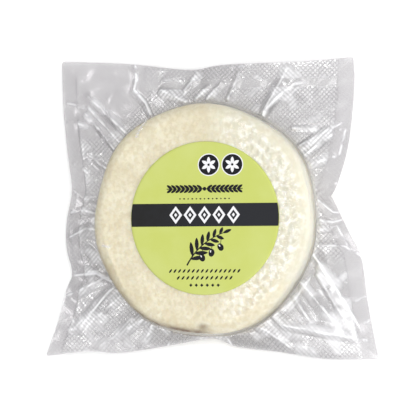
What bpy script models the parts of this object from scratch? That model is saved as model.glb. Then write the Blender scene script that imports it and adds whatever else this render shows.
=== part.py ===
"""A round of fresh feta sealed in a clear vacuum pouch, with a round label on its face.

Metres, +Z up. The pack lies on its back with the label up, and the origin is on the surface it lies on,
under the middle of the pouch. The pouch is one closed solid with the cheese in it: the film is drawn tight
over the round, turns out at the seam level and runs on as a pleated skirt to the cut edge of the pouch.
"""

import math

import bmesh
import bpy
from mathutils import Matrix, Vector

MM = 0.001

# The cheese: a pressed round with soft edges
ROUND_HALF_WIDTH = 56.0 * MM
ROUND_HALF_LENGTH = 58.0 * MM
ROUND_HEIGHT = 23.2 * MM
TOP_EDGE_RADIUS = 6.5 * MM
BASE_EDGE_RADIUS = 4.5 * MM
# Waves of the hand-filled outline: height, number round the edge, place of the first crest
ROUND_WAVES = ((1.1 * MM, 1, 298), (0.25 * MM, 3, 34), (0.4 * MM, 4, 36), (0.5 * MM, 7, 35))

# The pouch: seam level at the round, fall to the cut edge, and thickness of the two films with trapped air
SEAM_LEVEL = 8.0 * MM
SKIRT_FALL = 4.0 * MM
SKIRT_FALL_POWER = 1.2
SKIRT_THICKNESS = 1.2 * MM
EDGE_THICKNESS = 0.8 * MM
WALL_LEAN = 0.6 * MM
SEAM_FILLET = 2.0 * MM
MOST_FILLET_SHARE = 0.42
EDGE_WAVES = ((0.8 * MM, 4, 70), (0.7 * MM, 7, 15), (0.4 * MM, 11, 200))

# The pouch's cut outline from the middle of the round, in millimetres: corners, and what each side passes
TOP_SIDE = ((-77.1, 80.2), (-42.0, 78.3), (-9.5, 74.6), (8.0, 76.7), (46.0, 77.3), (74.6, 79.1))
RIGHT_SIDE = (
    (74.6, 79.1), (75.1, 64.0), (72.0, 35.4), (66.0, 14.6), (63.3, 11.0),
    (65.4, 7.0), (72.9, -8.8), (78.6, -20.5), (82.4, -44.4), (87.4, -70.5),
)
BOTTOM_SIDE = (
    (87.4, -70.5), (60.7, -70.6), (37.2, -67.3), (15.7, -64.9), (7.9, -61.9),
    (1.2, -60.8), (-18.1, -64.0), (-46.0, -68.2), (-61.4, -67.3), (-85.4, -69.9),
)
LEFT_SIDE = (
    (-85.4, -69.9), (-78.6, -51.0), (-74.8, -36.3), (-71.6, -28.2), (-74.8, -15.0),
    (-74.6, -2.0), (-71.1, 14.6), (-73.8, 33.0), (-76.4, 55.0), (-77.1, 80.2),
)

# Pleats: degrees at the round, degrees and millimetres from the middle where each runs out,
# and its height and half width at the round in millimetres
PLEATS = (
    (2, -3, 70, 2.6, 5.4), (14, 9, 68, 1.8, 5.0), (26, 26, 80, 2.2, 5.6), (37, 35, 86, 3.4, 5.4),
    (48, 44, 94, 2.6, 5.2), (60, 55, 92, 3.6, 5.4), (71, 67, 86, 3.6, 5.8), (82, 78, 76, 2.0, 5.2),
    (93, 88, 72, 2.0, 5.2), (105, 97, 76, 2.8, 5.4), (119, 117, 90, 3.8, 5.4), (133, 135, 98, 3.4, 6.4),
    (145, 140, 92, 3.2, 5.2), (157, 152, 78, 2.4, 5.2), (171, 174, 72, 2.4, 5.4), (185, 188, 74, 2.2, 5.4),
    (200, 199, 76, 2.0, 5.4), (213, 218, 96, 3.8, 6.0), (225, 226, 92, 2.4, 5.2), (236, 229, 96, 3.4, 6.0),
    (249, 245, 76, 2.2, 5.2), (263, 263, 68, 1.2, 5.0), (281, 283, 68, 1.4, 5.0), (295, 300, 76, 2.2, 5.4),
    (307, 317, 98, 3.4, 5.8), (318, 321, 100, 3.0, 5.6), (329, 324, 98, 3.4, 5.8), (340, 328, 92, 3.2, 5.4),
    (351, 347, 76, 2.4, 5.4),
)
PLEAT_SPREAD = 0.16
PLEAT_RUN_OUT = 0.8
PLEAT_CREST = 1.5
PLEAT_SHARE_UNDER = 0.35
PLEAT_LOSS_AT_EDGE = 0.75
GUSSET_SHARE = 0.9

# The label: a round sticker on the film
LABEL_RADIUS = 38.0 * MM
LABEL_THICKNESS = 0.3 * MM
LABEL_OFFSET = (3.6 * MM, -0.9 * MM)
CLEARANCE = 0.3 * MM

# Fineness of the solids
MERGE_DISTANCE = 0.01 * MM
STEPS_ROUND = 160
SIDE_STEPS = 12
LABEL_STEPS = 96
TOP_FACE_RINGS = (0.0, 0.45, 0.74, 0.90, 1.0)
BASE_FACE_RINGS = (0.0, 0.6, 1.0)
TOP_EDGE_TURNS = (25, 50, 72, 90)
BASE_EDGE_TURNS = (35, 65, 90)
FILLET_TURNS = (0, 45, 90)
SKIRT_RINGS = (0.14, 0.29, 0.46, 0.64, 0.82, 1.0)


def clear_scene():
    for obj in list(bpy.data.objects):
        bpy.data.objects.remove(obj)


def material(name, colour, roughness):
    mat = bpy.data.materials.new(name)
    mat.use_nodes = True
    shader = mat.node_tree.nodes["Principled BSDF"]
    shader.inputs["Base Color"].default_value = (*colour, 1)
    shader.inputs["Roughness"].default_value = roughness
    shader.inputs["Metallic"].default_value = 0
    return mat


def waves(angle, table):
    """Sum of cosine waves round the pack at this angle."""
    return sum(height * math.cos(count * (angle - math.radians(first))) for height, count, first in table)


def round_radius(angle):
    """Distance from the middle of the cheese to its side."""
    ellipse = math.hypot(math.cos(angle) / ROUND_HALF_WIDTH, math.sin(angle) / ROUND_HALF_LENGTH)
    return 1 / ellipse + waves(angle, ROUND_WAVES)


def smooth_side(points):
    """One side of the outline as a smooth curve through its points, without its last point."""
    known = [Vector(p) * MM for p in points]
    padded = [2 * known[0] - known[1], *known, 2 * known[-1] - known[-2]]
    curve = []
    for before, start, end, after in zip(padded, padded[1:], padded[2:], padded[3:]):
        for step in range(SIDE_STEPS):
            t = step / SIDE_STEPS
            along, bend = end - before, 2 * before - 5 * start + 4 * end - after
            twist = 3 * (start - end) + after - before
            curve.append(start + 0.5 * t * (along + t * (bend + t * twist)))
    return curve


def pouch_outline():
    """The cut edge of the pouch, clockwise from its top left corner."""
    return [point for side in (TOP_SIDE, RIGHT_SIDE, BOTTOM_SIDE, LEFT_SIDE) for point in smooth_side(side)]


def edge_point(outline, angle):
    """Where a ray from the middle of the cheese leaves the pouch. A corner takes the ray nearest to it."""
    half_step = math.pi / STEPS_ROUND
    for corner in (side[0] for side in (TOP_SIDE, RIGHT_SIDE, BOTTOM_SIDE, LEFT_SIDE)):
        if abs(turn_between(math.atan2(corner[1], corner[0]), angle)) < half_step:
            return Vector(corner) * MM
    ray = Vector((math.cos(angle), math.sin(angle)))
    for start, end in zip(outline, outline[1:] + outline[:1]):
        before, after = ray.cross(start), ray.cross(end)
        if before * after <= 0 < ray.dot(start + end) and before != after:
            return start.lerp(end, before / (before - after))
    raise ValueError("the outline leaves this side of the cheese open")


def turn_between(one, other):
    """Signed angle from one direction to another, within half a turn."""
    return (other - one + math.pi) % (2 * math.pi) - math.pi


def pleat_height(angle, distance):
    """Height of the pleats over the flat skirt, at an angle and a distance from the middle."""
    height = 0.0
    for first, last, reach, rise, half_width in PLEATS:
        start = round_radius(math.radians(first))
        share = (distance - start) / (reach * MM - start)
        if share >= 1:
            continue
        share = max(share, 0.0)
        crest = math.radians(first + (last - first) * share)
        aside = abs(turn_between(crest, angle)) * distance
        width = half_width * MM + PLEAT_SPREAD * max(distance - start, 0.0)
        if aside < width:
            height += rise * MM * (1 - share) ** PLEAT_RUN_OUT * (1 - aside / width) ** PLEAT_CREST
    return height


def fillet_size(angle, room):
    """Radius of the turn from the cheese's side out to the skirt: wide where a pleat runs up the side."""
    pleat = pleat_height(angle, round_radius(angle))
    return min(SEAM_FILLET + GUSSET_SHARE * pleat, MOST_FILLET_SHARE * room)


def skirt_level(angle, share, distance, side):
    """Height of the skirt's face, from the seam at share 0 to the cut edge at share 1."""
    middle = SEAM_LEVEL - SKIRT_FALL * share**SKIRT_FALL_POWER + waves(angle, EDGE_WAVES) * share
    half = 0.5 * (SKIRT_THICKNESS + (EDGE_THICKNESS - SKIRT_THICKNESS) * share)
    pleats = pleat_height(angle, distance) * (1 - PLEAT_LOSS_AT_EDGE * share**2)
    return middle + half + pleats if side > 0 else middle - half + PLEAT_SHARE_UNDER * pleats


def section(angle, edge, side):
    """Points from the middle of the round to the cut edge, as distance and height, on one face of the pack."""
    radius = round_radius(angle)
    room = edge.length - radius
    fillet = fillet_size(angle, room) if side > 0 else min(SEAM_FILLET, MOST_FILLET_SHARE * room)
    foot = radius + WALL_LEAN + fillet
    seam = skirt_level(angle, 0.0, foot, side)
    if side > 0:
        corner, level, turns, rings = TOP_EDGE_RADIUS, ROUND_HEIGHT, TOP_EDGE_TURNS, TOP_FACE_RINGS
    else:
        corner, level, turns, rings = BASE_EDGE_RADIUS, 0.0, BASE_EDGE_TURNS, BASE_FACE_RINGS
    points = [(ring * (radius - corner), level) for ring in rings]
    for turn in map(math.radians, turns):
        points.append((radius - corner * (1 - math.sin(turn)), level - side * corner * (1 - math.cos(turn))))
    for turn in map(math.radians, FILLET_TURNS):
        points.append((foot - fillet * math.cos(turn), seam + side * fillet * (1 - math.sin(turn))))
    for share in SKIRT_RINGS:
        distance = foot + (edge.length - foot) * share
        points.append((distance, skirt_level(angle, share, distance, side)))
    return points


def turned_blank(front_rings, back_rings):
    """A turned plate, one unit between its rings, front rings above and back rings below."""
    profile = [(ring, 1.0) for ring in range(front_rings)]
    profile += [(ring, -1.0) for ring in reversed(range(back_rings))]
    mesh = bpy.data.meshes.new("blank")
    edges = [(i, i + 1) for i in range(len(profile) - 1)]
    mesh.from_pydata([(x, 0, z) for x, z in profile], edges, [])
    blank = bpy.data.objects.new("blank", mesh)
    bpy.context.scene.collection.objects.link(blank)
    screw = blank.modifiers.new("turn", "SCREW")
    screw.steps = screw.render_steps = STEPS_ROUND
    screw.use_merge_vertices = True
    screw.merge_threshold = MERGE_DISTANCE
    screw.use_normal_calculate = True
    screw.use_normal_flip = True
    return blank


def ring_places(angle, outline, side):
    """Where each ring of one face of the pouch passes this angle, from the middle out."""
    edge = edge_point(outline, angle)
    ray = Vector((math.cos(angle), math.sin(angle)))
    points = section(angle, edge, side)
    inner = len(points) - len(SKIRT_RINGS)
    places = []
    for ring, (distance, level) in enumerate(points):
        outward = max(0, ring + 1 - inner) / len(SKIRT_RINGS)
        place = ray.lerp(edge.normalized(), outward) * distance
        places.append((place.x, place.y, level))
    return places


def make_pouch(collection):
    """The turned blank, with each ring drawn to the section of the pack at its angle."""
    shared = len(FILLET_TURNS) + len(SKIRT_RINGS)
    blank = turned_blank(
        len(TOP_FACE_RINGS) + len(TOP_EDGE_TURNS) + shared,
        len(BASE_FACE_RINGS) + len(BASE_EDGE_TURNS) + shared,
    )
    graph = bpy.context.evaluated_depsgraph_get()
    mesh = bpy.data.meshes.new_from_object(blank.evaluated_get(graph))
    bpy.data.objects.remove(blank)
    outline = pouch_outline()
    places = {
        (step, side): ring_places(2 * math.pi * step / STEPS_ROUND, outline, side)
        for step in range(STEPS_ROUND)
        for side in (1, -1)
    }
    for vertex in mesh.vertices:
        x, y, z = vertex.co
        step = round(math.atan2(y, x) / (2 * math.pi) * STEPS_ROUND) % STEPS_ROUND
        vertex.co = places[step, 1 if z > 0 else -1][round(math.hypot(x, y))]
    pouch = bpy.data.objects.new("pouch", mesh)
    collection.objects.link(pouch)
    mesh.materials.append(material("cheese_in_film", (0.86, 0.80, 0.62), 0.3))
    mesh.shade_smooth()
    return pouch


def make_label(collection):
    """A thin round sticker, just clear of the film over the cheese."""
    mesh = bpy.data.meshes.new("label")
    shape = bmesh.new()
    bmesh.ops.create_cone(
        shape,
        cap_ends=True,
        segments=LABEL_STEPS,
        radius1=LABEL_RADIUS,
        radius2=LABEL_RADIUS,
        depth=LABEL_THICKNESS,
    )
    shape.to_mesh(mesh)
    shape.free()
    label = bpy.data.objects.new("label", mesh)
    collection.objects.link(label)
    label.location = (*LABEL_OFFSET, ROUND_HEIGHT + CLEARANCE + LABEL_THICKNESS / 2)
    mesh.materials.append(material("label_paper", (0.62, 0.74, 0.20), 0.5))
    return label


def box_middle(mesh):
    """Middle of a mesh's box across the table."""
    spans = [[vertex.co[axis] for vertex in mesh.vertices] for axis in (0, 1)]
    return Vector(((min(span) + max(span)) / 2 for span in spans)).to_3d()


def main():
    clear_scene()
    collection = bpy.data.collections.new("feta_pack")
    bpy.context.scene.collection.children.link(collection)
    pouch = make_pouch(collection)
    label = make_label(collection)
    middle = box_middle(pouch.data)
    pouch.data.transform(Matrix.Translation(-middle))
    label.location -= middle


main()
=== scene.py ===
"""The looks of a vacuum-packed round of fresh cheese: curd, embossed film, label, stage and light.

Metres, +Z up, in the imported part's frame. Places on the pack are measured from the middle of the
round, and places on the print from the middle of the label.
"""

import math

import bpy
import numpy as np
from mathutils import Matrix, Vector, noise


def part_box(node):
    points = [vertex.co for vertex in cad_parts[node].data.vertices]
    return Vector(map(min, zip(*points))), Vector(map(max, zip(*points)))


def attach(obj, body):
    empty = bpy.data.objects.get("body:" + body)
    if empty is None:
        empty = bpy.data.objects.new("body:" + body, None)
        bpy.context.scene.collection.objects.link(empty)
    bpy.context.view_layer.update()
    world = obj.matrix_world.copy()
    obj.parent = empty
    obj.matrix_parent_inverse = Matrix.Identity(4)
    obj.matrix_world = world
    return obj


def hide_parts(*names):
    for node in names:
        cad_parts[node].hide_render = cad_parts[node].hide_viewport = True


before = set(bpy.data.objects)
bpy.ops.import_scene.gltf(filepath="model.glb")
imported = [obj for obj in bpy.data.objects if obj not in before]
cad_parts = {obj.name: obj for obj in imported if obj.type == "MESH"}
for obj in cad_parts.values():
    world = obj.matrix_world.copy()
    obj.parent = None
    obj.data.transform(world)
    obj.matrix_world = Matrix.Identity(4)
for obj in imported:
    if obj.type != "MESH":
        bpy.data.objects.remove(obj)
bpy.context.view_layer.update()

MM = 0.001
BODY = "root"
TURN = 2 * math.pi

# The round and the pouch, as the part has them
ROUND_HALF_WIDTH = 56.0 * MM
ROUND_HALF_LENGTH = 58.0 * MM
ROUND_WAVES = ((1.1 * MM, 1, 298), (0.25 * MM, 3, 34), (0.4 * MM, 4, 36), (0.5 * MM, 7, 35))
TOP_EDGE_RADIUS = 6.5 * MM
BASE_EDGE_RADIUS = 4.5 * MM
SEAM_LEVEL = 8.0 * MM
SKIRT_FALL_POWER = 1.2
WALL_LEAN = 0.4 * MM
FILM_FILLET = 0.7 * MM
MOST_FILLET_SHARE = 0.42
PART_STEPS = 160
LABEL_OFFSET = Vector((3.6 * MM, -0.9 * MM))
LABEL_CLEARANCE = 0.3 * MM

# Fineness of the sheets
FILM_STEPS = 840
BACK_STEPS = 480
CHEESE_STEPS = 600
LABEL_STEPS = 360

# The curd: how far it lies inside the film, and its relief
CURD_INSET = 0.35 * MM
FINE_PITS = 0.15 * MM
BROAD_SWELLS = 0.16 * MM
WET_LUMPS = 0.68 * MM
CURD_LUMPS = 0.40 * MM
# A low ledge on the face near the lower left rim: the directions it runs between, how far it lies
# in from the side at either end, and its step
LEDGE_TURNS = (191, 240)
LEDGE_INSET = (5.6 * MM, 2.6 * MM)
LEDGE_STEP = 0.55 * MM

# Creases of the front film, outer end first, as places in millimetres from the middle of the round.
# Each has its height at the outer and inner end, and its half width to the left and right of its run.
CREASES = (
    (((-39, 79), (-36.5, 70), (-37.5, 65), (-34.5, 61.5), (-31, 58), (-28, 52)), 1.2, 2.4, 1.3, 3.2),
    (((-64.5, 64), (-51, 52), (-38.5, 40.5)), 0.5, 3.6, 5.0, 3.0),
    (((-65, 54.5), (-55, 44), (-46.5, 34)), 0.6, 2.6, 3.0, 2.4),
    (((-63, 57.5), (-53, 47), (-43.5, 37)), 0.3, 1.6, 1.4, 1.4),
    (((-62, 33), (-56, 28), (-50, 24)), 0.4, 1.8, 2.0, 2.4),
    (((-75, 59), (-65, 57)), 0.8, 0.5, 2.6, 2.6),
    (((-75, 50), (-63, 47)), 1.0, 0.5, 2.2, 3.0),
    (((-71, 29), (-62, 23)), 0.8, 0.6, 1.6, 3.0),
    (((-71, 15), (-64, 10), (-57, 9)), 0.8, 1.6, 2.6, 2.6),
    (((-25, 65), (-18, 62), (-10, 58)), 1.8, 1.4, 2.4, 3.0),
    (((-4, 74), (-11, 64)), 0.5, 1.6, 3.0, 1.6),
    (((2, 67), (-5, 59)), 0.6, 1.4, 2.0, 1.6),
    (((9, 69), (1, 59)), 0.5, 1.5, 2.6, 1.6),
    (((43, 77), (38, 66), (31, 52)), 0.8, 3.2, 3.6, 3.6),
    (((50, 68), (45, 65.5), (38.5, 60), (33, 54), (29.5, 47.5)), 0.8, 3.4, 1.6, 8.0),
    (((58, 43), (45, 44)), 0.4, 1.6, 1.6, 2.0),
    (((71, 47), (59, 41), (49, 35)), 0.6, 3.0, 3.4, 2.2),
    (((70, 44), (63, 39), (51, 30)), 0.5, 2.6, 1.8, 4.0),
    (((71, 44), (68, 31)), 0.5, 0.6, 2.0, 3.0),
    (((67, 30), (55, 26)), 0.9, 1.5, 3.0, 3.0),
    (((67, 17), (58, 11)), 0.8, 2.6, 3.6, 2.6),
    (((73, 2), (65, 2), (58, 8)), 1.4, 2.6, 3.0, 3.4),
    (((75, 0), (65, -3), (59, -2)), 1.0, 1.6, 1.6, 2.0),
    (((73, -16), (67, -5), (59, -7)), 1.0, 1.6, 2.4, 3.4),
    (((81, -21), (71, -15), (58, -14)), 0.6, 1.8, 5.0, 3.0),
    (((80, -58), (71, -42), (56, -19)), 0.6, 3.2, 3.6, 5.0),
    (((78, -61), (67, -45), (58, -29)), 0.6, 2.8, 2.4, 5.6),
    (((71, -58), (61, -46), (50, -33)), 0.6, 3.2, 5.0, 3.2),
    (((55, -54), (51, -48), (46, -40)), 0.4, 2.0, 2.6, 2.2),
    (((87, -62), (61, -58), (40, -54), (34, -48)), 0.4, 2.4, 2.6, 5.0),
    (((44, -66), (32, -57), (25, -53)), 0.5, 1.6, 3.2, 2.2),
    (((87, -50), (80, -53)), 0.6, 0.6, 3.0, 3.0),
    (((85, -38), (76, -42)), 0.8, 0.6, 3.4, 3.4),
    (((-72, -27), (-57, -27), (-47, -32)), 0.6, 2.6, 3.0, 3.0),
    (((-76, -40), (-63, -35), (-52, -30)), 1.0, 1.0, 3.6, 3.6),
    (((-68, -57), (-56, -44), (-45, -33)), 0.6, 3.0, 3.6, 2.4),
    (((-81, -57), (-66, -56)), 0.8, 0.6, 2.6, 4.0),
    (((-58, -51), (-43, -39), (-37, -42)), 0.5, 2.4, 3.4, 3.4),
    (((-60, -67), (-44, -58), (-30, -50)), 0.6, 2.8, 5.0, 3.4),
    (((-35, -67), (-30, -59), (-26, -52)), 0.5, 2.2, 3.4, 2.6),
    (((-21, -65), (-16, -58)), 0.4, 1.4, 2.4, 2.4),
    (((-74, -10), (-62, -5), (-56, -6)), 1.0, 1.8, 3.0, 3.0),
    (((-73, 3), (-64, 4), (-56, 2)), 0.8, 1.4, 2.6, 2.6),
    (((19, 77), (15, 67), (12, 59)), 0.4, 1.6, 3.4, 2.2),
    (((13, -65), (11, -59)), 0.3, 1.0, 2.0, 2.0),
)
# How sharp a crease's ridge is, and the share of its run over which its outer end rises
CREASE_POWER = 1.25
CREASE_END = 0.12
# Half width of the painted highlight line on a ridge, and the most that its flank, painted as lit,
# reaches
FOLD_LINE = 0.5 * MM
WIDEST_LIT = 4.4 * MM
# Strength of the painted highlight line along the sharp folds
SHARP_HIGHLIGHT = 1.4
# Sharp folds painted with a white highlight along their whole run, without a rise of their own
SHARP_FOLDS = (
    (((-38.5, 80), (-36.5, 70), (-37.5, 65), (-34.5, 61.5), (-31, 58), (-28, 52)), 0, 0, 1.0, 1.0),
    (((51, 67), (45, 65.5), (38.5, 60), (33, 54), (29.5, 47.5)), 0, 0, 1.0, 1.0),
    (((-72, -29), (-57, -28), (-47, -33)), 0, 0, 1.0, 1.0),
    (((-70, -56), (-58, -46), (-47, -34)), 0, 0, 1.0, 1.0),
    (((80, -58), (71, -42), (56, -19)), 0, 0, 1.0, 1.0),
    (((55, -28.5), (51, -35), (44.8, -41.7), (36.6, -49)), 0, 0, 1.0, 1.0),
)
# Small folds of the film over the cheese itself, given alike
FACE_FOLDS = (
    (((-27, 49), (-30, 44), (-32, 40)), 0.7, 0.2, 1.4, 1.6),
    (((-50, -14), (-46, -15)), 0.3, 0.2, 1.2, 1.2),
)

# How far the front film stands over the seam and the cut edge, and the back film under and over them
FRONT_SEAM_LIFT = 0.6 * MM
FRONT_EDGE_LIFT = 0.3 * MM
BACK_SEAM_DROP = 0.3 * MM
BACK_EDGE_LIFT = 0.2 * MM
COARSE_CRUMPLE = 1.5 * MM
FINE_CRUMPLE = 0.07 * MM
BACK_CRUMPLE = 0.8 * MM

# The heat seal near the top edge: the levels it runs between, where it is smooth
SEAL = (64.5 * MM, 69.0 * MM)
SEAL_BLUR = 0.5 * MM
# The flat seals along the left and right edges: their width, and how far the film rises inside them
SIDE_SEAL = 8.0 * MM
SEAL_STEP = 0.35 * MM
# The smooth corner at the top left
SMOOTH_CORNER = (Vector((-62 * MM, 70 * MM)), 34 * MM)
# The facets at the lower right, which are smooth but glossy
SMOOTH_FACETS = (Vector((65 * MM, -42 * MM)), 24 * MM)
EMBOSS_PITCH = 1.72 * MM
EMBOSS_DEPTH = 0.12 * MM
# How grey the film is at its cut edge and on its side seals
EDGE_GREY = 0.5
SEAL_GREY = 0.2
# How glossy the film is over wet curd, and how much brighter the painted light on the flanks of the
# smooth facets is
WET_GLOSS = 0.55
FACET_LIGHT = 0.8

# The brown line round the rim, whose faint first stretch is painted contact shade: the directions over
# which it starts, darkens and ends, its strength before it darkens, and the levels over which its foot
# and its top fade
BROWN_LINE_TURNS = ((174, 190), (228, 242), (266, 280))
FAINT_SHADE_SHARE = 0.35
BROWN_LINE_BAND = ((13.5 * MM, 16.0 * MM), (19.2 * MM, 22.1 * MM))
# One brown spot on the rim: its middle, its half width and height, and its strength
STAIN_SPOT = ((2.5 * MM, -54.6 * MM), (2.6 * MM, 1.7 * MM), 0.65)
STAIN_LOWEST = 15 * MM
# Share of the painted light on the side wall at the right of the round
WALL_LIGHT_SHARE = 0.8

# Colours, linear
CREAM = (0.670, 0.610, 0.450)
CREAM_PALE = (0.760, 0.715, 0.570)
CREAM_DEEP = (0.55, 0.46, 0.29)
# Near-white of the wet lumps: the curd's paler tone together with a painted highlight of wet sheen
WET_WHITE_AND_SHEEN = (0.90, 0.89, 0.84)
WET_PALE = (0.66, 0.64, 0.53)
# Painted light on the side wall at the right of the round
WALL_PAINTED_LIGHT = (0.84, 0.82, 0.72)
# Painted shade on the left rim, which faces away from the light
LEFT_RIM_SHADE = (0.43, 0.37, 0.20)
# Dark brown of the rim line and spot; on the line's faint part it is painted contact shade
RIM_BROWN = (0.12, 0.055, 0.018)
LIME = (0.485, 0.535, 0.130)
LIME_PALE = (0.510, 0.560, 0.170)
CHARCOAL = (0.010, 0.010, 0.010)
# Charcoal at the label's right, lighter and bluer by a painted reflection
CHARCOAL_REFLECTED = (0.015, 0.016, 0.020)
INK = (0.004, 0.004, 0.006)
WHITE = (0.72, 0.72, 0.74)
FLOOR = (0.97, 0.97, 0.97)
FLOOR_HALF = 3.0
FLOOR_LEVEL = -0.3 * MM

FILM_CLEAR = (0.985, 0.981, 0.987)
FILM_GROOVE = (0.73, 0.72, 0.73)
FILM_SMOOTH = (0.905, 0.898, 0.903)
FILM_STEEP = (0.64, 0.63, 0.64)
FILM_TIGHT = (0.985, 0.985, 0.975)
# Milky white of the film's haze, also the white of its painted highlights
FILM_MILK_AND_HIGHLIGHT = (0.86, 0.86, 0.88)
FILM_SHINE = (0.03, 0.09)
FILM_SHINE_EDGE = 0.5
FILM_HAZE = 0.07
# Strength of the painted highlight lines along folds
FOLD_HIGHLIGHT = 0.65
# Strengths of the painted highlights on lit flanks: white emboss strokes, and a white wash
STROKE_HIGHLIGHT = 0.36
LIT_HIGHLIGHT = 0.28
FILM_ROUGHNESS = (0.34, 0.08)
SLACK_ROUGHNESS = 0.06
FILM_SHEEN = 0.16
SHEEN_ROUGHNESS = 0.42

# The print, in millimetres from the middle of the label
BAND = (-4.1, 7.3)
LOZENGE_PITCH = 7.4
LOZENGES = 5
LAUREL_LEVEL = 14.5
LAUREL_HALF = 19.5
RULE_LEVEL = 9.6
MEDALLIONS = ((2.1, 26.4), (14.2, 26.4))
SPRIG = ((-9.0, -23.4), (-3.0, -12.0), (9.5, -7.4))
ROPES = ((-26.2, 35.0, 16), (-29.6, 27.0, 12))
GEMS = (-33.2, 14.0, 6)

# The camera: the photograph looks down on the pack a little from its right side
VIEW_LEAN_RIGHT = math.radians(15)
VIEW_LEAN_DOWN = math.radians(2)
VIEW_DISTANCE = 1.3
FRAME_WIDTH = 207.9 * MM
SENSOR = 36.0
# Where the middle of the round's label lies off the frame's middle, as a share of its width
LABEL_IN_FRAME = (-5.3 / 420, -8.1 / 420)

# Lamps: name, degrees from the zenith, direction, size across and up, radiance, and whether the
# films mirror it
LAMP_DISTANCE = 1.3
LAMPS = (
    ("key", 20, 8, 0.8, 0.6, 4.45, False),
    ("side", 70, -5, 1.2, 0.5, 5.2, False),
    ("east", 26, 35, 0.16, 0.16, 7.0, True),
    ("north", 34, 96, 0.20, 0.18, 7.0, True),
    ("north_east", 18, 82, 0.40, 0.30, 1.8, True),
    ("south", 34, -96, 0.22, 0.20, 7.0, True),
    ("south_east", 19, -88, 0.60, 0.40, 3.3, True),
    ("north_west", 34, 140, 0.15, 0.14, 8.0, True),
    ("south_west", 34, -140, 0.18, 0.17, 7.0, True),
    ("west", 44, 178, 0.16, 0.16, 8.0, True),
)
SKY = 0.41

label_low, label_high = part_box("label")
HUB = (label_low + label_high).to_2d() / 2 - LABEL_OFFSET
ROUND_HEIGHT = label_low.z - LABEL_CLEARANCE
LABEL_RADIUS = (label_high.x - label_low.x) / 2
LABEL_LOW = ROUND_HEIGHT + 0.18 * MM
LABEL_PAPER = 0.12 * MM


def smoothstep(low, high, value):
    share = np.clip((value - low) / (high - low), 0.0, 1.0)
    return share * share * (3 - 2 * share)


def within(low, high, value, blur):
    """1 between low and high and 0 outside them, with soft ends."""
    return smoothstep(low - blur, low + blur, value) * (1 - smoothstep(high - blur, high + blur, value))


def near(x, y, place, full):
    """1 inside the full share of a round place's reach, falling to 0 at its reach."""
    middle, reach = place
    return 1 - smoothstep(reach * full, reach, np.hypot(x - middle.x, y - middle.y))


def noise_at(x, y, z, scale, octaves, seed):
    """Fractal noise, about -1 to 1, at each of many places."""
    shape = np.broadcast(x, y, z).shape
    flat = (np.broadcast_to(a, shape).ravel() / scale + seed for a in (x, y, z))
    return np.array([noise.fractal(Vector(p), 0.9, 2.1, octaves) for p in zip(*flat)]).reshape(shape)


def facets(x, y, cell, seed):
    """Flat-sided crumples, 0 to about 1: the way to the nearest of many scattered ridges."""
    places = zip((x / cell + seed).ravel(), (y / cell - seed).ravel())
    found = [noise.voronoi(Vector((px, py, seed)))[0] for px, py in places]
    return np.array([near[1] - near[0] for near in found]).reshape(x.shape)


def round_radius(angle):
    """Distance from the middle of the round to its side."""
    radius = 1 / np.hypot(np.cos(angle) / ROUND_HALF_WIDTH, np.sin(angle) / ROUND_HALF_LENGTH)
    for height, count, first in ROUND_WAVES:
        radius = radius + height * np.cos(count * (angle - math.radians(first)))
    return radius


def pouch_edge(angles):
    """Plan distance and height of the pouch's cut edge in each direction, from the part's solid."""
    points = np.array([v.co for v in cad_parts["pouch"].data.vertices])
    points[:, :2] -= HUB
    turn = np.arctan2(points[:, 1], points[:, 0])
    reach = np.hypot(points[:, 0], points[:, 1])
    step = np.round(turn / TURN * PART_STEPS).astype(int) % PART_STEPS
    outer = np.array([reach[step == s].max() for s in range(PART_STEPS)])
    rim = [np.where((step == s) & (reach > outer[s] - 0.05 * MM))[0] for s in range(PART_STEPS)]
    level = np.array([points[found, 2].mean() for found in rim])
    where = np.unwrap([turn[found[0]] for found in rim])
    rounds = np.concatenate([where - TURN, where, where + TURN])
    xs = np.tile(outer * np.cos(where), 3)
    ys = np.tile(outer * np.sin(where), 3)
    turned = (angles - where[0]) % TURN + where[0]
    x, y = np.interp(turned, rounds, xs), np.interp(turned, rounds, ys)
    return np.hypot(x, y), np.interp(turned, rounds, np.tile(level, 3))


def side_seals(x, y, angles, reach):
    """1 on the flat seals along the pouch's left and right edges, and 0 inside them."""
    edge_x, edge_y = reach * np.cos(angles), reach * np.sin(angles)
    run = np.arange(len(angles))
    total = np.zeros(x.shape)
    for side in (1, -1):
        upper, lower = np.argmax(side * edge_x + edge_y), np.argmax(side * edge_x - edge_y)
        on = (run <= upper) | (run >= lower) if side > 0 else (run >= upper) & (run <= lower)
        order = np.argsort(edge_y[on])
        gap = side * (np.interp(y, edge_y[on][order], edge_x[on][order]) - x)
        total += 1 - smoothstep(SIDE_SEAL - SEAL_BLUR, SIDE_SEAL + SEAL_BLUR, gap)
    return np.clip(total, 0, 1)


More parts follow.
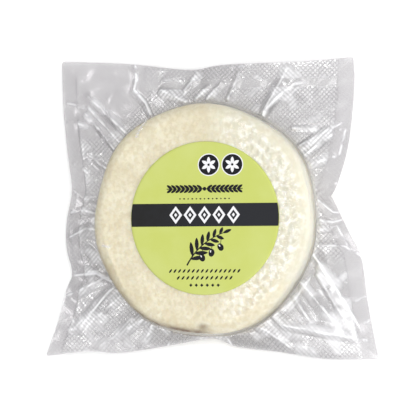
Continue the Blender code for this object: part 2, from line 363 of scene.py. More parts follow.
def lay_creases(x, y, creases):
    """Height in metres that the creases add at each place, then 1 on their lines and on their flanks."""
    total = np.zeros(x.shape)
    line = np.zeros(x.shape)
    flank = np.zeros(x.shape)
    for route, outer_rise, inner_rise, left_width, right_width in creases:
        points = np.array(route, float) * MM
        runs = np.hypot(*np.diff(points, axis=0).T)
        along = np.concatenate([[0], np.cumsum(runs)]) / runs.sum()
        best = np.full(x.shape, 1.0)
        side = np.zeros(x.shape)
        share = np.zeros(x.shape)
        for k in range(len(runs)):
            (ax, ay), (bx, by) = points[k], points[k + 1]
            dx, dy = bx - ax, by - ay
            t = np.clip(((x - ax) * dx + (y - ay) * dy) / runs[k] ** 2, 0, 1)
            off_x, off_y = x - ax - t * dx, y - ay - t * dy
            away = np.hypot(off_x, off_y)
            closer = away < best
            best = np.where(closer, away, best)
            side = np.where(closer, dx * off_y - dy * off_x, side)
            share = np.where(closer, along[k] + t * (along[k + 1] - along[k]), share)
        width = np.where(side > 0, left_width, right_width) * MM * (1.3 - 0.4 * share)
        rise = (outer_rise + (inner_rise - outer_rise) * share) * MM
        fade = smoothstep(0, CREASE_END, share)
        total += rise * fade * np.clip(1 - best / width, 0, 1) ** CREASE_POWER
        line = np.maximum(line, fade * np.exp(-(best / FOLD_LINE) ** 2))
        closeness = 1 - best / np.minimum(width, WIDEST_LIT)
        flank = np.maximum(flank, fade * smoothstep(0.0, 0.7, closeness))
    return total, line, flank


def wetness(x, y):
    """Where the film lies on wet lumps: 0 on the left of the round, 1 over most of its right side."""
    reach = np.hypot(x, y)
    side = smoothstep(6 * MM, 30 * MM, x + 0.10 * np.abs(y))
    inside = 1 - smoothstep(ROUND_HALF_WIDTH - 5 * MM, ROUND_HALF_WIDTH - 1 * MM, reach)
    return side * (0.35 + 0.65 * inside)


def curd_relief(x, y, lump_height):
    """Height of the curd over a smooth round: fine pits, soft lumps on the right, and the ledge."""
    fine = noise_at(x, y, 0.0, 1.7 * MM, 3, 4.0)
    broad = noise_at(x, y, 0.0, 16 * MM, 2, 7.0)
    lumps = noise_at(x, y, 0.0, 2.8 * MM, 2, 11.0)
    turn = np.degrees(np.arctan2(y, x)) % 360
    start, end = LEDGE_TURNS
    inset = LEDGE_INSET[0] + (LEDGE_INSET[1] - LEDGE_INSET[0]) * smoothstep(start + 14, end - 6, turn)
    over = np.hypot(x, y) - (round_radius(np.radians(turn)) - inset)
    window = smoothstep(start, start + 14, turn) * (1 - smoothstep(end - 14, end, turn))
    step = smoothstep(-0.5 * MM, 0.7 * MM, over) - 0.4 * np.exp(-((over + 0.9 * MM) / MM) ** 2)
    relief = FINE_PITS * fine + BROAD_SWELLS * broad + wetness(x, y) * lump_height * lumps
    return relief - LEDGE_STEP * window * step


def sheet(name, x, y, z, upward, attributes=()):
    """A mesh of rings, the first drawn in to one point. Each array holds a row for each ring."""
    rings, steps = x.shape
    points = np.column_stack([x[1:].ravel(), y[1:].ravel(), z[1:].ravel()])
    points = np.vstack([[x[0].mean(), y[0].mean(), z[0].mean()], points])
    points[:, :2] += HUB
    here = np.arange(steps)
    after = (here + 1) % steps
    fan = np.column_stack([np.zeros(steps, int), 1 + here, 1 + after])
    quads = []
    for inner in range(1, 1 + (rings - 2) * steps, steps):
        outer = inner + steps
        quads.append(np.column_stack([inner + here, outer + here, outer + after, inner + after]))
    faces = fan.tolist() + np.vstack(quads).tolist()
    if not upward:
        faces = [face[::-1] for face in faces]
    mesh = bpy.data.meshes.new(name)
    mesh.from_pydata(points.tolist(), [], faces)
    mesh.shade_smooth()
    for key, values in attributes:
        flat = np.concatenate([[values[0].mean()], values[1:].ravel()]).astype(np.float32)
        mesh.attributes.new(key, "FLOAT", "POINT").data.foreach_set("value", flat)
    piece = bpy.data.objects.new(name, mesh)
    bpy.context.scene.collection.objects.link(piece)
    return piece


def ring_table(rows, angles):
    """The places and levels of rings given by their distance from the middle and their level."""
    distance = np.array([np.broadcast_to(row[0], angles.shape) for row in rows])
    level = np.array([np.broadcast_to(row[1], angles.shape) for row in rows])
    return distance * np.cos(angles), distance * np.sin(angles), level


def even_turns(steps):
    return np.arange(steps) * TURN / steps


def top_edge(radius, level, count):
    """Rings round the top edge of the round, from its face to its side."""
    for turn in np.linspace(0, math.pi / 2, count + 1)[1:]:
        way_in, way_down = 1 - math.sin(turn), 1 - math.cos(turn)
        yield radius - TOP_EDGE_RADIUS * way_in, level - TOP_EDGE_RADIUS * way_down


def base_edge(radius, level, turns):
    """Rings round the lower edge of the round, at turns from its underside, 0, to its side."""
    for turn in turns:
        way_in, way_up = 1 - math.sin(turn), 1 - math.cos(turn)
        yield radius - BASE_EDGE_RADIUS * way_in, level + BASE_EDGE_RADIUS * way_up


def make_cheese():
    """The round itself, a hair inside the film."""
    angles = even_turns(CHEESE_STEPS)
    radius = round_radius(angles) - CURD_INSET
    top, low = ROUND_HEIGHT - CURD_INSET, CURD_INSET
    rows = [(share * (radius - TOP_EDGE_RADIUS), top) for share in np.linspace(0, 0.66, 8)]
    rows += [(share * (radius - TOP_EDGE_RADIUS), top) for share in np.linspace(0.68, 1, 34)]
    rows += top_edge(radius, top, 14)
    wall_top, wall_foot = top - TOP_EDGE_RADIUS, low + BASE_EDGE_RADIUS
    rows += [(radius, wall_top + (wall_foot - wall_top) * share) for share in np.linspace(0, 1, 14)[1:]]
    rows += base_edge(radius, low, np.linspace(math.pi / 2, 0, 8)[1:])
    rows += [(share * (radius - BASE_EDGE_RADIUS), low) for share in (0.8, 0.5, 0.2, 0.0)]
    x, y, z = ring_table(rows, angles)
    facing_up = smoothstep(ROUND_HEIGHT - 9 * MM, ROUND_HEIGHT - 2 * MM, z)
    z = z + curd_relief(x, y, CURD_LUMPS) * facing_up
    rough_side = (1 - facing_up) * smoothstep(1 * MM, 4 * MM, z)
    wall = noise_at(x, y, z * 1.4, 3.4 * MM, 3, 21.0) * 0.25 * MM * rough_side
    reach = np.maximum(np.hypot(x, y), 0.001 * MM)
    x, y = x * (1 + wall / reach), y * (1 + wall / reach)
    wet = wetness(x, y) * facing_up
    pale = smoothstep(10 * MM, 44 * MM, x + 0.35 * y)
    # Painted light on the side wall at the right of the round, which lies in shade
    painted_light_wall = WALL_LIGHT_SHARE * pale * (1 - facing_up)
    tones = (("wet", wet), ("pale", pale), ("wall", painted_light_wall), ("stain_and_shade", brown_line_and_shade(x, y, z)))
    piece = sheet("cheese", x, y, z, True, tones)
    piece.data.materials.append(cheese_material())
    dress(piece, "pouch")


def brown_line_and_shade(x, y, z):
    """A patchy brown line round the lower left of the rim, its faint part on the left a painted contact
    shade, and a brown spot on it.
    """
    turn = np.degrees(np.arctan2(y, x)) % 360
    start, darkening, end = BROWN_LINE_TURNS
    # Faint from the left, where it is painted contact shade, then full on the lower left
    window = FAINT_SHADE_SHARE * smoothstep(*start, turn) + (1 - FAINT_SHADE_SHARE) * smoothstep(*darkening, turn)
    window *= 1 - smoothstep(*end, turn)
    foot, top = BROWN_LINE_BAND
    band = smoothstep(*foot, z) * (1 - smoothstep(*top, z))
    patchy = smoothstep(-0.4, 0.4, noise_at(x, y, z, 5.0 * MM, 2, 31.0))
    (spot_x, spot_y), (half_width, half_height), strength = STAIN_SPOT
    spot = np.exp(-(((x - spot_x) / half_width) ** 2 + ((y - spot_y) / half_height) ** 2))
    line = window * band * (0.6 + 0.4 * patchy)
    return np.clip(line + strength * spot * (z > STAIN_LOWEST), 0, 1)


def dress(piece, node):
    """Rides the piece on the pack, in the place of the part's own solid."""
    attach(piece, BODY)
    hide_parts(node)


def make_front_film():
    """The embossed film: over the round, down its side, and out over the skirt to the cut edge."""
    angles = even_turns(FILM_STEPS)
    radius = round_radius(angles)
    reach, edge_level = pouch_edge(angles)
    out_a_little = radius + 3 * MM
    climb, _, _ = lay_creases(out_a_little * np.cos(angles), out_a_little * np.sin(angles), CREASES)
    fillet = np.minimum(FILM_FILLET + 0.2 * climb, MOST_FILLET_SHARE * (reach - radius))
    foot = radius + WALL_LEAN + fillet
    rows = [(share * (radius - TOP_EDGE_RADIUS), ROUND_HEIGHT) for share in np.linspace(0, 0.68, 5)]
    rows += [(share * (radius - TOP_EDGE_RADIUS), ROUND_HEIGHT) for share in np.linspace(0.69, 1, 32)]
    rows += top_edge(radius, ROUND_HEIGHT, 11)
    over_round = len(rows)
    seam = SEAM_LEVEL + FRONT_SEAM_LIFT + climb
    wall_top = ROUND_HEIGHT - TOP_EDGE_RADIUS
    for share in (0.25, 0.5, 0.75, 1.0):
        rows.append((radius + WALL_LEAN * share, wall_top + (seam + fillet - wall_top) * share))
    over_wall = len(rows)
    for turn in np.linspace(0, math.pi / 2, 6)[1:]:
        rows.append((foot - fillet * math.cos(turn), seam + fillet * (1 - math.sin(turn))))
    to_skirt = len(rows)
    skirt = np.linspace(0, 1, 52)[1:]
    rows += [(foot + (reach - foot) * share, 0.0) for share in skirt]
    x, y, z = ring_table(rows, angles)
    loose = np.zeros(x.shape)
    loose[over_wall:to_skirt] = np.linspace(0.0, 0.9, to_skirt - over_wall)[:, None] ** 4
    loose[to_skirt:] = 1.0
    out = slice(to_skirt, None)
    share = np.tile(skirt[:, None], (1, FILM_STEPS))
    fall = share**SKIRT_FALL_POWER
    base = (SEAM_LEVEL + FRONT_SEAM_LIFT) * (1 - fall) + (edge_level + FRONT_EDGE_LIFT) * fall
    crumple = COARSE_CRUMPLE * facets(x[out], y[out], 17 * MM, 3.0)
    crumple += FINE_CRUMPLE * facets(x[out], y[out], 8 * MM, 9.0)
    calm = smoothstep(0.0, 0.15, share) * (1 - 0.5 * smoothstep(0.7, 1.0, share))
    side_seal = side_seals(x, y, angles, reach)
    rise, line, flank = lay_creases(x[out], y[out], CREASES)
    # Painted highlight: white lines along crease ridges and sharp folds
    folded = np.zeros(x.shape)
    folded[out] = line * smoothstep(-0.35, 0.3, noise_at(x[out], y[out], 0.0, 5 * MM, 2, 47.0))
    _, sharp, _ = lay_creases(x[out], y[out], SHARP_FOLDS)
    sharp *= smoothstep(-0.7, 0.0, noise_at(x[out], y[out], 0.0, 4 * MM, 2, 61.0))
    folded[out] = np.maximum(folded[out], SHARP_HIGHLIGHT * sharp)
    # Painted light: where a white wash and white emboss strokes go, on crease flanks and broad patches
    lit = np.zeros(x.shape)
    lit[out] = flank * smoothstep(-0.3, 0.3, noise_at(x[out], y[out], 0.0, 12 * MM, 2, 53.0))
    broad = 0.8 * smoothstep(0.1, 0.45, noise_at(x[out], y[out], 0.0, 12 * MM, 2, 59.0))
    z[out] = base + rise * (1 - 0.6 * share**3)
    z[out] += crumple * calm * (1 - 0.6 * side_seal[out])
    z[out] += SEAL_STEP * (1 - side_seal[out]) * smoothstep(0, 0.1, 1 - share)
    over = slice(0, over_round)
    up = smoothstep(ROUND_HEIGHT - 9 * MM, ROUND_HEIGHT - 2 * MM, z[over])
    from_label = np.hypot(x[over] - LABEL_OFFSET.x, y[over] - LABEL_OFFSET.y)
    bare = smoothstep(LABEL_RADIUS - 1 * MM, LABEL_RADIUS + 2 * MM, from_label)
    face_rise, face_line, _ = lay_creases(x[over], y[over], FACE_FOLDS)
    z[over] += (curd_relief(x[over], y[over], WET_LUMPS) * up + face_rise) * bare
    # Painted highlight lines along the folds over the cheese
    folded[over] = face_line
    sealed = within(*SEAL, y, SEAL_BLUR)
    smooth = near(x, y, SMOOTH_CORNER, 0.8)
    bald = near(x, y, SMOOTH_FACETS, 0.6)
    patchy = 0.6 + 0.4 * smoothstep(-0.3, 0.35, noise_at(x, y, 0.0, 14 * MM, 2, 41.0))
    kept = 1 - 0.85 * np.maximum(smooth, bald)
    emboss = loose * (1 - sealed) * (1 - 0.75 * side_seal) * kept * patchy
    glossy = loose * (1 - 0.93 * side_seal) * (1 - 0.93 * smooth)
    glossy = np.maximum(glossy, WET_GLOSS * wetness(x, y))
    glossy[over] = np.maximum(glossy[over], smoothstep(0.0, 0.2 * MM, face_rise))
    # Painted lit patches, stronger on the smooth facets
    lit[out] = np.clip(lit[out] + broad * (1 - smooth[out]), 0, 1)
    lit *= loose * (1 - sealed) * (1 - side_seal) * (1 + FACET_LIGHT * bald)
    edge = SEAL_GREY * side_seal
    edge[-1] = EDGE_GREY
    attributes = (("loose", loose), ("emboss", emboss), ("glossy", glossy))
    attributes += (("folded", folded), ("lit", lit), ("edge", edge))
    piece = sheet("film_front", x, y, z, True, attributes)
    piece.data.materials.append(film_material("embossed_film"))
    dress(piece, "pouch")


def make_back_film():
    """The smooth film under the round and under the skirt, met by the front film at the cut edge."""
    angles = even_turns(BACK_STEPS)
    radius = round_radius(angles)
    reach, edge_level = pouch_edge(angles)
    fillet = np.minimum(FILM_FILLET, MOST_FILLET_SHARE * (reach - radius))
    foot = radius + WALL_LEAN + fillet
    low = 0.02 * MM
    rows = [(share * (radius - BASE_EDGE_RADIUS), low) for share in (0.0, 0.4, 0.8, 1.0)]
    rows += base_edge(radius, 0.0, np.linspace(0, math.pi / 2, 7)[1:])
    under_round = len(rows)
    seam = SEAM_LEVEL - BACK_SEAM_DROP
    for turn in np.linspace(0, math.pi / 2, 5):
        rows.append((foot - fillet * math.cos(turn), seam - fillet * (1 - math.sin(turn))))
    to_skirt = len(rows)
    skirt = np.linspace(0, 1, 40)[1:]
    rows += [(foot + (reach - foot) * share, 0.0) for share in skirt]
    x, y, z = ring_table(rows, angles)
    loose = np.zeros(x.shape)
    loose[under_round:to_skirt] = 0.6
    loose[to_skirt:] = 1.0
    out = slice(to_skirt, None)
    share = np.tile(skirt[:, None], (1, BACK_STEPS))
    fall = share**SKIRT_FALL_POWER
    base = seam * (1 - fall) + (edge_level + BACK_EDGE_LIFT) * fall
    rise, _, _ = lay_creases(x[out], y[out], CREASES)
    folds = 0.35 * rise * (1 - share**3)
    crumple = BACK_CRUMPLE * facets(x[out], y[out], 13 * MM, 17.0)
    z[out] = base + folds - crumple * smoothstep(0.0, 0.2, share) * (1 - smoothstep(0.8, 1.0, share))
    z = np.maximum(z, low)
    piece = sheet("film_back", x, y, z, False, (("loose", loose), ("glossy", loose)))
    piece.data.materials.append(film_material("back_film"))
    dress(piece, "pouch")


def new_material(name):
    mat = bpy.data.materials.new(name)
    mat.use_nodes = True
    return mat, mat.node_tree, mat.node_tree.nodes["Principled BSDF"]


def feed(tree, socket, value):
    """Links a socket to another node's output, or sets its number or colour."""
    if isinstance(value, bpy.types.NodeSocket):
        tree.links.new(value, socket)
    elif isinstance(value, tuple) and len(value) == 3 and len(socket.default_value) == 4:
        socket.default_value = (*value, 1)
    else:
        socket.default_value = value


def math_node(tree, operation, *values):
    node = tree.nodes.new("ShaderNodeMath")
    node.operation = operation
    for socket, value in zip(node.inputs, values):
        feed(tree, socket, value)
    return node.outputs[0]


def mix_colour(tree, share, first, second):
    node = tree.nodes.new("ShaderNodeMix")
    node.data_type = "RGBA"
    for socket, value in zip((node.inputs[0], node.inputs[6], node.inputs[7]), (share, first, second)):
        feed(tree, socket, value)
    return node.outputs[2]


def mix_shader(tree, share, first, second):
    node = tree.nodes.new("ShaderNodeMixShader")
    for socket, value in zip(node.inputs, (share, first.outputs[0], second.outputs[0])):
        feed(tree, socket, value)
    return node


def shader_node(tree, kind, **values):
    node = tree.nodes.new("ShaderNodeBsdf" + kind)
    for key, value in values.items():
        feed(tree, node.inputs[key], value)
    return node


def place(tree):
    return tree.nodes.new("ShaderNodeNewGeometry").outputs["Position"]


def stored(tree, name):
    node = tree.nodes.new("ShaderNodeAttribute")
    node.attribute_name = name
    return node.outputs["Fac"]


def noise_node(tree, size, detail=3.0, rough=0.55):
    node = tree.nodes.new("ShaderNodeTexNoise")
    tree.links.new(place(tree), node.inputs["Vector"])
    node.inputs["Scale"].default_value = 1 / size
    node.inputs["Detail"].default_value = detail
    node.inputs["Roughness"].default_value = rough
    return node.outputs["Fac"]


def map_range(tree, value, low, high, floor, ceiling, kind="LINEAR"):
    node = tree.nodes.new("ShaderNodeMapRange")
    node.interpolation_type = kind
    for socket, number in zip(node.inputs, (value, low, high, floor, ceiling)):
        feed(tree, socket, number)
    return node.outputs[0]


def ramp(tree, value, low, high, floor=0.0, ceiling=1.0):
    return map_range(tree, value, low, high, floor, ceiling, "SMOOTHSTEP")


def bump_node(tree, height, distance):
    node = tree.nodes.new("ShaderNodeBump")
    node.inputs["Strength"].default_value = 1.0
    node.inputs["Distance"].default_value = distance
    tree.links.new(height, node.inputs["Height"])
    return node.outputs[0]


def emboss_nodes(tree):
    """Pillows between grooves at 45 degrees, 0 in a groove, and strokes that run one way or the other."""
    axes = tree.nodes.new("ShaderNodeSeparateXYZ")
    tree.links.new(place(tree), axes.inputs[0])
    turn = math.pi / (EMBOSS_PITCH * math.sqrt(2))
    ways = [math_node(tree, kind, axes.outputs[0], axes.outputs[1]) for kind in ("ADD", "SUBTRACT")]
    sines = [math_node(tree, "SINE", math_node(tree, "MULTIPLY", way, turn)) for way in ways]
    waves = [math_node(tree, "ABSOLUTE", sine) for sine in sines]
    pillows = math_node(tree, "MULTIPLY", *waves)
    run = ramp(tree, noise_node(tree, 16 * MM, 1.0), 0.46, 0.54)
    strokes = ramp(tree, map_range(tree, run, 0.0, 1.0, *waves), 0.45, 0.85)
    return pillows, math_node(tree, "MULTIPLY", strokes, ramp(tree, pillows, 0.02, 0.5, 0.25, 1.0))


def film_material(name):
    """Clear embossed film: greyer where it is steep, with painted white highlights on folds and lit
    flanks, and glossy.
    """
    mat, tree, shader = new_material(name)
    tree.nodes.remove(shader)
    loose = stored(tree, "loose")
    soft = math_node(tree, "MULTIPLY", noise_node(tree, 11 * MM, 2.0), 0.6)
    pillows, strokes = emboss_nodes(tree)
    emboss = stored(tree, "emboss")
    plateau = ramp(tree, pillows, 0.02, 0.42)
    normal = bump_node(tree, math_node(tree, "MULTIPLY_ADD", plateau, emboss, soft), EMBOSS_DEPTH)
    weight = tree.nodes.new("ShaderNodeLayerWeight")
    tree.links.new(normal, weight.inputs["Normal"])
    facing = weight.outputs["Facing"]
    steep = ramp(tree, facing, 0.03, 0.50)
    embossed = mix_colour(tree, ramp(tree, pillows, 0.65, 0.1), FILM_CLEAR, FILM_GROOVE)
    steep = math_node(tree, "MAXIMUM", steep, stored(tree, "edge"))
    slack = mix_colour(tree, steep, mix_colour(tree, emboss, FILM_SMOOTH, embossed), FILM_STEEP)
    clear = shader_node(tree, "Transparent", Color=mix_colour(tree, loose, FILM_TIGHT, slack))
    milk_and_highlight_white = shader_node(tree, "Diffuse", Color=FILM_MILK_AND_HIGHLIGHT)
    haze_and_highlight = math_node(tree, "MULTIPLY", loose, FILM_HAZE)
    # Painted highlights: a white wash where the film is marked as lit, white emboss strokes there, and
    # white lines on folds
    lit = stored(tree, "lit")
    haze_and_highlight = math_node(tree, "MULTIPLY_ADD", lit, LIT_HIGHLIGHT, haze_and_highlight)
    lit_strokes = math_node(tree, "MULTIPLY", math_node(tree, "MULTIPLY", strokes, emboss), lit)
    haze_and_highlight = math_node(tree, "MULTIPLY_ADD", lit_strokes, STROKE_HIGHLIGHT, haze_and_highlight)
    milk_and_highlight_share = math_node(tree, "MULTIPLY_ADD", stored(tree, "folded"), FOLD_HIGHLIGHT, haze_and_highlight)
    body = mix_shader(tree, milk_and_highlight_share, clear, milk_and_highlight_white)
    glossy = stored(tree, "glossy")
    roughness = map_range(tree, glossy, 0.0, 1.0, *FILM_ROUGHNESS)
    roughness = math_node(tree, "MULTIPLY_ADD", loose, SLACK_ROUGHNESS, roughness)
    gloss = shader_node(tree, "Glossy", Color=(1, 1, 1), Roughness=roughness, Normal=normal)
    grazing = math_node(tree, "POWER", facing, 5.0)
    flat_shine = map_range(tree, glossy, 0.0, 1.0, *FILM_SHINE)
    sheen = shader_node(tree, "Glossy", Color=(1, 1, 1), Roughness=SHEEN_ROUGHNESS)
    slack_gloss = math_node(tree, "MULTIPLY", loose, glossy)
    body = mix_shader(tree, math_node(tree, "MULTIPLY", slack_gloss, FILM_SHEEN), body, sheen)
    shine = map_range(tree, grazing, 0.0, 1.0, flat_shine, FILM_SHINE_EDGE)
    whole = mix_shader(tree, shine, body, gloss)
    tree.links.new(whole.outputs[0], tree.nodes["Material Output"].inputs["Surface"])
    return mat


def cheese_material():
    """Moist pressed curd: cream with paler grains, near-white wet lumps partly painted as sheen, painted
    light on the right of its side and painted shade on its left rim, and a brown line on the rim, partly
    painted contact shade.
    """
    mat, tree, shader = new_material("fresh_curd")
    height = tree.nodes.new("ShaderNodeSeparateXYZ")
    tree.links.new(place(tree), height.inputs[0])
    grains = ramp(tree, noise_node(tree, 2.2 * MM, 4.0), 0.35, 0.65)
    clouds = ramp(tree, noise_node(tree, 14 * MM, 2.0), 0.3, 0.7, 0.0, 0.35)
    base = mix_colour(tree, grains, CREAM, CREAM_PALE)
    base = mix_colour(tree, clouds, base, CREAM_DEEP)
    base = mix_colour(tree, math_node(tree, "MULTIPLY", stored(tree, "pale"), 0.75), base, WET_PALE)
    # Painted light on the side wall at the right
    base = mix_colour(tree, stored(tree, "wall"), base, WALL_PAINTED_LIGHT)
    # Near-white wet lumps, partly a painted highlight of wet sheen
    lumps = ramp(tree, noise_node(tree, 3.2 * MM, 4.0), 0.44, 0.66, 0.05, 0.8)
    base = mix_colour(tree, math_node(tree, "MULTIPLY", lumps, stored(tree, "wet")), base, WET_WHITE_AND_SHEEN)
    depth = ramp(tree, height.outputs[2], 9 * MM, 2 * MM, 0.0, 0.2)
    base = mix_colour(tree, depth, base, CREAM_DEEP)
    # Painted shade low on the left of the rim, away from the light
    low_side = ramp(tree, height.outputs[2], 22.6 * MM, 17.5 * MM)
    left_side = ramp(tree, height.outputs[0], HUB.x - 20 * MM, HUB.x - 48 * MM, 0.0, 0.7)
    base = mix_colour(tree, math_node(tree, "MULTIPLY", low_side, left_side), base, LEFT_RIM_SHADE)
    # Brown line and spot on the rim; the line's faint part is painted contact shade
    base = mix_colour(tree, stored(tree, "stain_and_shade"), base, RIM_BROWN)
    tree.links.new(base, shader.inputs["Base Color"])
    shader.inputs["Roughness"].default_value = 0.5
    shader.inputs["Subsurface Weight"].default_value = 0.25
    shader.inputs["Subsurface Radius"].default_value = (0.003, 0.002, 0.001)
    shader.inputs["Subsurface Scale"].default_value = 1.0
    pits = noise_node(tree, 1.6 * MM, 4.0)
    tree.links.new(bump_node(tree, pits, 0.24 * MM), shader.inputs["Normal"])
    return mat


def label_rise(x, y):
    """The label's face over its lowest level: it follows the cheese in broad, shallow swells."""
    return 0.05 * MM * (1 + np.sin(x / (9 * MM) + 1.0) * np.cos(y / (11 * MM)))


def make_label():
    """The round paper sticker, with a softened edge."""
    angles = even_turns(LABEL_STEPS)
    level = LABEL_LOW + LABEL_PAPER
    face = [(share * (LABEL_RADIUS - LABEL_PAPER), level) for share in np.linspace(0, 1, 34)]
    rows = face + [(LABEL_RADIUS, LABEL_LOW + LABEL_PAPER / 2), (LABEL_RADIUS, LABEL_LOW)]
    rows += [(share * LABEL_RADIUS, LABEL_LOW) for share in (0.6, 0.0)]
    x, y, z = ring_table(rows, angles)
    top = slice(0, len(face))
    z[top] += label_rise(x[top], y[top])
    piece = sheet("label_sticker", x + LABEL_OFFSET.x, y + LABEL_OFFSET.y, z, True)
    mat, tree, shader = new_material("label_paper")
    clouds = ramp(tree, noise_node(tree, 18 * MM, 3.0), 0.3, 0.75)
    tree.links.new(mix_colour(tree, clouds, LIME, LIME_PALE), shader.inputs["Base Color"])
    shader.inputs["Roughness"].default_value = 0.5
    shader.inputs["Specular IOR Level"].default_value = 0.25
    fibre = noise_node(tree, 3.0 * MM, 2.0)
    tree.links.new(bump_node(tree, fibre, 0.04 * MM), shader.inputs["Normal"])
    piece.data.materials.append(mat)
    dress(piece, "label")


PRINT_LAYER = 0.02 * MM
BLACK_INK, CHARCOAL_INK, WHITE_INK = range(3)


class Print:
    """Flat shapes laid on the label, each in millimetres from its middle, as one piece."""

    def __init__(self):
        self.points, self.faces, self.inks = [], [], []

    def shape(self, outline, ink, layer=1):
        first = len(self.points)
        for x, y in outline:
            self.points.append((x * MM, y * MM, layer * PRINT_LAYER))
        self.faces.append(list(range(first, first + len(outline))))
        self.inks.append(ink)

    def finish(self, materials):
        points = np.array(self.points)
        points[:, 2] += LABEL_LOW + LABEL_PAPER + label_rise(points[:, 0], points[:, 1])
        points[:, :2] += HUB + LABEL_OFFSET
        mesh = bpy.data.meshes.new("label_print")
        mesh.from_pydata(points.tolist(), [], self.faces)
        for mat in materials:
            mesh.materials.append(mat)
        mesh.polygons.foreach_set("material_index", self.inks)
        piece = bpy.data.objects.new("label_print", mesh)
        bpy.context.scene.collection.objects.link(piece)
        dress(piece, "label")


def turned(points, x, y, degrees):
    """Points turned about the origin, then moved."""
    cos, sin = math.cos(math.radians(degrees)), math.sin(math.radians(degrees))
    return [(x + cos * px - sin * py, y + sin * px + cos * py) for px, py in points]


def oval(x, y, width, height, degrees=0.0, sides=28):
    ring = [(0.5 * width * math.cos(a), 0.5 * height * math.sin(a)) for a in even_turns(sides)]
    return turned(ring, x, y, degrees)


def leaf(x, y, length, width, degrees):
    """A pointed leaf that grows from x, y."""
    ring = []
    for a in even_turns(20):
        bulge = math.sin(a) * math.sqrt(abs(math.sin(a)))
        ring.append((0.5 * length * (1 + math.cos(a)), 0.5 * width * bulge))
    return turned(ring, x, y, degrees)


def bar(start, end, width):
    """A straight stroke between two points."""
    start, end = Vector(start), Vector(end)
    side = (end - start).orthogonal().normalized() * width / 2
    return [tuple(corner) for corner in (start - side, end - side, end + side, start + side)]


def lozenge(x, y, width, height):
    return [(x + width / 2, y), (x, y + height / 2), (x - width / 2, y), (x, y - height / 2)]


def print_band(art):
    """The charcoal band across the whole label, with a row of white lozenges."""
    low, high = BAND
    edge = LABEL_RADIUS / MM - 0.15
    levels = np.linspace(low, high, 7)
    for bottom, top in zip(levels, levels[1:]):
        for left, right in zip(np.linspace(-1, 1, 29), np.linspace(-1, 1, 29)[1:]):
            wide_low, wide_high = math.sqrt(edge**2 - bottom**2), math.sqrt(edge**2 - top**2)
            cell = [(left * wide_low, bottom), (right * wide_low, bottom)]
            cell += [(right * wide_high, top), (left * wide_high, top)]
            art.shape(cell, CHARCOAL_INK)
    middle = (low + high) / 2
    nested = ((1.0, WHITE_INK), (0.58, CHARCOAL_INK), (0.24, WHITE_INK))
    for k in range(LOZENGES):
        x = (k - (LOZENGES - 1) / 2) * LOZENGE_PITCH
        for layer, (size, ink) in enumerate(nested):
            art.shape(lozenge(x, middle, 6.6 * size, 8.8 * size), ink, 2 + layer)


def print_laurel(art):
    """A straight laurel branch over the band, its leaves growing outwards, and a dotted rule."""
    art.shape(bar((-LAUREL_HALF, LAUREL_LEVEL), (LAUREL_HALF, LAUREL_LEVEL), 0.4), BLACK_INK)
    for side in (1, -1):
        for k in range(8):
            x = side * (1.2 + 2.2 * k)
            for way in (1, -1):
                lean = way * 34 if side > 0 else 180 - way * 34
                art.shape(leaf(x, LAUREL_LEVEL, 3.4, 1.35, lean), BLACK_INK, 2)
    art.shape(oval(0, LAUREL_LEVEL, 1.9, 1.9), BLACK_INK, 2)
    for k in range(-6, 7):
        art.shape(lozenge(2.1 * k, RULE_LEVEL, 1.3 if k % 2 else 0.9, 0.9), BLACK_INK)


def print_medallions(art):
    """Two dark round medallions with a white rim and a six-petalled flower."""
    for x, y in MEDALLIONS:
        art.shape(oval(x, y, 11.2, 11.2, 0, 48), WHITE_INK)
        art.shape(oval(x, y, 10.2, 10.2, 0, 48), BLACK_INK, 2)
        for petal in range(6):
            art.shape(leaf(x, y, 3.9, 1.7, 30 + 60 * petal), WHITE_INK, 3)
        art.shape(oval(x, y, 1.2, 1.2), BLACK_INK, 4)


def print_sprig(art):
    """An olive sprig: a bent stem with leaves on both sides and a few olives."""
    start, bend, end = map(Vector, SPRIG)
    stem = [start.lerp(bend, k / 14).lerp(bend.lerp(end, k / 14), k / 14) for k in range(15)]
    for k, (here, after) in enumerate(zip(stem, stem[1:])):
        art.shape(bar(here, after + (after - here) * 0.1, 0.75 - 0.03 * k), BLACK_INK)
    for k, here in enumerate(stem[2:14]):
        way = math.degrees(math.atan2(*(stem[k + 3] - here).yx)) if k < 11 else 20.0
        side = 1 if k % 2 else -1
        art.shape(leaf(here.x, here.y, 7.4 - 0.32 * k, 2.1 - 0.04 * k, way + side * 46), BLACK_INK, 2)
    art.shape(leaf(stem[14].x, stem[14].y, 4.6, 1.6, 22), BLACK_INK, 2)
    for x, y, lean in ((-1.2, -19.6, 20), (3.6, -17.2, -15), (8.2, -14.4, 30)):
        art.shape(oval(x, y, 3.0, 3.9, lean), BLACK_INK, 2)
        art.shape(oval(x - 0.5, y + 0.7, 0.6, 1.2, lean + 10, 14), WHITE_INK, 3)
        art.shape(bar((x, y + 1.6), (x + 0.3, y + 4.0), 0.3), BLACK_INK)


def print_ropes(art):
    """Rope borders of slanted dashes at the foot of the label, and a row of small gems."""
    for level, width, count in ROPES:
        for k in range(count):
            x = (k / (count - 1) - 0.5) * width
            art.shape(leaf(x - 0.7, level - 0.9, 2.4, 0.9, 52), BLACK_INK)
    level, width, count = GEMS
    for k in range(count):
        art.shape(lozenge((k / (count - 1) - 0.5) * width, level, 1.7, 1.7), BLACK_INK)


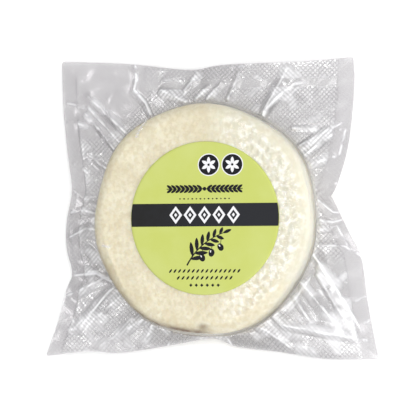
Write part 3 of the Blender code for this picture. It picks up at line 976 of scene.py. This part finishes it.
def print_material(name, colour, other, roughness):
    """Printing ink, lighter towards the label's right by a painted reflection, and a little specked."""
    mat, tree, shader = new_material(name)
    axes = tree.nodes.new("ShaderNodeSeparateXYZ")
    tree.links.new(place(tree), axes.inputs[0])
    # Painted reflection: the ink lightens from the left of the label to its right
    across = ramp(tree, axes.outputs[0], HUB.x - LABEL_RADIUS, HUB.x + LABEL_RADIUS)
    speck = ramp(tree, noise_node(tree, 4 * MM, 3.0), 0.3, 0.7, 0.0, 0.35)
    share = math_node(tree, "ADD", across, speck)
    tree.links.new(mix_colour(tree, share, colour, other), shader.inputs["Base Color"])
    shader.inputs["Roughness"].default_value = roughness
    shader.inputs["Specular IOR Level"].default_value = 0.25
    return mat


def make_print():
    art = Print()
    print_band(art)
    print_laurel(art)
    print_medallions(art)
    print_sprig(art)
    print_ropes(art)
    # Inks lightened by the painted reflection at the label's right
    reflected_ink = tuple(channel * 1.6 for channel in INK)
    reflected_white = tuple(min(1.0, channel * 1.05) for channel in WHITE)
    art.finish((
        print_material("ink_black", INK, reflected_ink, 0.4),
        print_material("ink_charcoal", CHARCOAL, CHARCOAL_REFLECTED, 0.42),
        print_material("ink_white", WHITE, reflected_white, 0.45),
    ))


def make_stage():
    """A plain pale floor, a hair under the pack."""
    mesh = bpy.data.meshes.new("floor")
    plan = ((-1, -1), (1, -1), (1, 1), (-1, 1))
    points = [(x * FLOOR_HALF, y * FLOOR_HALF, FLOOR_LEVEL) for x, y in plan]
    mesh.from_pydata(points, [], [(0, 1, 2, 3)])
    floor = bpy.data.objects.new("floor", mesh)
    bpy.context.scene.collection.objects.link(floor)
    mat, tree, shader = new_material("floor_paper")
    shader.inputs["Base Color"].default_value = (*FLOOR, 1)
    shader.inputs["Roughness"].default_value = 0.9
    shader.inputs["Specular IOR Level"].default_value = 0.1
    mesh.materials.append(mat)


def from_zenith(zenith, azimuth, distance):
    zenith, azimuth = math.radians(zenith), math.radians(azimuth)
    flat = Vector((math.cos(azimuth), math.sin(azimuth))) * math.sin(zenith)
    return Vector((*flat, math.cos(zenith))) * distance


def make_lights():
    """Softboxes that face the pack, and an even white sky."""
    for name, zenith, azimuth, across, tall, radiance, mirrored in LAMPS:
        lamp = bpy.data.lights.new(name, "AREA")
        lamp.shape = "RECTANGLE"
        lamp.size = across
        lamp.size_y = tall
        lamp.energy = radiance * math.pi * across * tall
        holder = bpy.data.objects.new(name, lamp)
        bpy.context.scene.collection.objects.link(holder)
        holder.location = from_zenith(zenith, azimuth, LAMP_DISTANCE)
        holder.rotation_euler = (-holder.location).to_track_quat("-Z", "Y").to_euler()
        holder.visible_glossy = mirrored
    world = bpy.data.worlds.new("studio")
    bpy.context.scene.world = world
    world.use_nodes = True
    world.node_tree.nodes["Background"].inputs["Color"].default_value = (1, 1, 1, 1)
    world.node_tree.nodes["Background"].inputs["Strength"].default_value = SKY


def make_camera():
    """Looks along the photograph's line, with the label's middle at its place in the frame."""
    target = Vector((*(HUB + LABEL_OFFSET), ROUND_HEIGHT))
    back = Vector((math.sin(VIEW_LEAN_RIGHT), -math.sin(VIEW_LEAN_DOWN), 1.0))
    back.z = math.sqrt(1 - back.x**2 - back.y**2)
    right = Vector((0, 1, 0)).cross(back).normalized()
    up = back.cross(right)
    camera = bpy.data.cameras.new("camera")
    camera.sensor_width = SENSOR
    camera.lens = SENSOR * VIEW_DISTANCE / FRAME_WIDTH
    camera.clip_end = 20
    holder = bpy.data.objects.new("camera", camera)
    bpy.context.scene.collection.objects.link(holder)
    aim = target - (right * LABEL_IN_FRAME[0] + up * LABEL_IN_FRAME[1]) * FRAME_WIDTH
    turn = Matrix((right, up, back)).transposed().to_4x4()
    holder.matrix_world = Matrix.Translation(aim + back * VIEW_DISTANCE) @ turn
    bpy.context.scene.camera = holder


make_cheese()
make_front_film()
make_back_film()
make_label()
make_print()
make_stage()
make_lights()
make_camera()
bpy.context.scene.view_settings.view_transform = "Standard"
